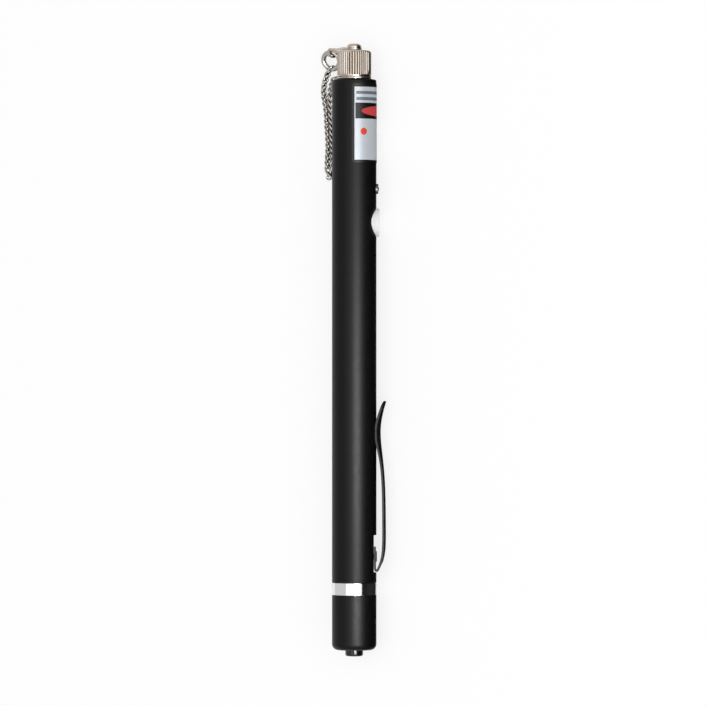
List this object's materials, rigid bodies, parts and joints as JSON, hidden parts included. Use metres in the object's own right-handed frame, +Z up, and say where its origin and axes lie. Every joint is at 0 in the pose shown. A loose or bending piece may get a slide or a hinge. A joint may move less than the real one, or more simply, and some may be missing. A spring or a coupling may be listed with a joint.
{
  "type": "visual fault locator",
  "caption": "Pen-type visual fault locator for optical fibre: black barrel with side clip and button, fluted dust cap on a chain, 2.5 mm ferrule port, two AAA cells.",
  "frame": {"origin": "on the axis of the ferrule port, in the plane of the front face of the barrel", "axes": "+Y points out of the ferrule port, along the barrel; +Z is up, with the pen lying on its side and rolled until the clip edge meets the floor; the floor is at z = -6.70 mm"},
  "size_m": [0.0235, 0.1816, 0.0138],
  "materials": {
    "black_barrel": "satin black coated aluminium",
    "label_print": "silver-grey printed foil with black fields",
    "lamp_lens": "dark red clear lens",
    "grey_moulding": "fine matt moulding",
    "silver_button": "silver lacquer on a moulded button",
    "black_moulding": "fine matt moulding",
    "circuit_board": "solder mask on glass epoxy",
    "turned_brass": "fine turned",
    "nickel_plate": "bright nickel plate",
    "black_spring_steel": "semi-gloss black coated spring steel",
    "ceramic_sleeve": "ground ceramic",
    "lens_glass": "polished",
    "cell_jacket": "shrink sleeve",
    "gloss_black": "smooth moulding"
  },
  "bodies": {
    "pen": {"barrel": "black_barrel", "label": "label_print", "indicator_lamp": "lamp_lens", "lamp_bezel": "grey_moulding", "switch_body": "black_moulding", "driver_board": "circuit_board", "laser_housing": "turned_brass", "laser_diode": "nickel_plate", "contact_carrier": "black_moulding", "clip": "black_spring_steel", "clip_rivet": "black_spring_steel", "front_neck": "nickel_plate", "ferrule_sleeve": "ceramic_sleeve", "focus_lens": "lens_glass", "diode_retainer": "turned_brass", "front_contact": "nickel_plate", "cell_front": "cell_jacket", "cell_rear": "cell_jacket", "trim_ring": "nickel_plate", "neck_washer": "nickel_plate", "tether_chain": "nickel_plate"},
    "cap_swivel": {"cap_rivet": "nickel_plate", "cap_lug": "nickel_plate", "jump_ring": "nickel_plate"},
    "dust_cap": {"dust_cap": "nickel_plate"},
    "push_button": {"push_button": "silver_button", "switch_plunger": "grey_moulding"},
    "tail_slide": {"tail_spring": "nickel_plate"},
    "tail_cap": {"tail_cap": "black_barrel", "tail_plug": "gloss_black"}
  },
  "joints": [
    {"name": "dust_cap_advance", "type": "slide", "parent": "pen", "child": "cap_swivel", "axis": [0, 1, 0], "range_m": [0, 0.0045], "deforming": ["tether_chain"]},
    {"name": "dust_cap_turn", "type": "hinge", "parent": "cap_swivel", "child": "dust_cap", "pos_m": [0, 0.005, 0], "axis": [0, 1, 0], "range_deg": [0, 2160]},
    {"name": "button_press", "type": "slide", "parent": "pen", "child": "push_button", "axis": [-0.871, 0, 0.4912], "range_m": [0, 0.0005], "stiffness_N_per_m": 600},
    {"name": "tail_cap_advance", "type": "slide", "parent": "pen", "child": "tail_slide", "axis": [0, -1, 0], "range_m": [0, 0.00575]},
    {"name": "tail_cap_turn", "type": "hinge", "parent": "tail_slide", "child": "tail_cap", "pos_m": [0, -0.16, 0], "axis": [0, -1, 0], "range_deg": [0, 2070]}
  ],
  "couplings": [
    {"joint": "dust_cap_turn", "follows": "dust_cap_advance", "rad_per_m": 8377.5},
    {"joint": "tail_cap_turn", "follows": "tail_cap_advance", "rad_per_m": 6283}
  ]
}
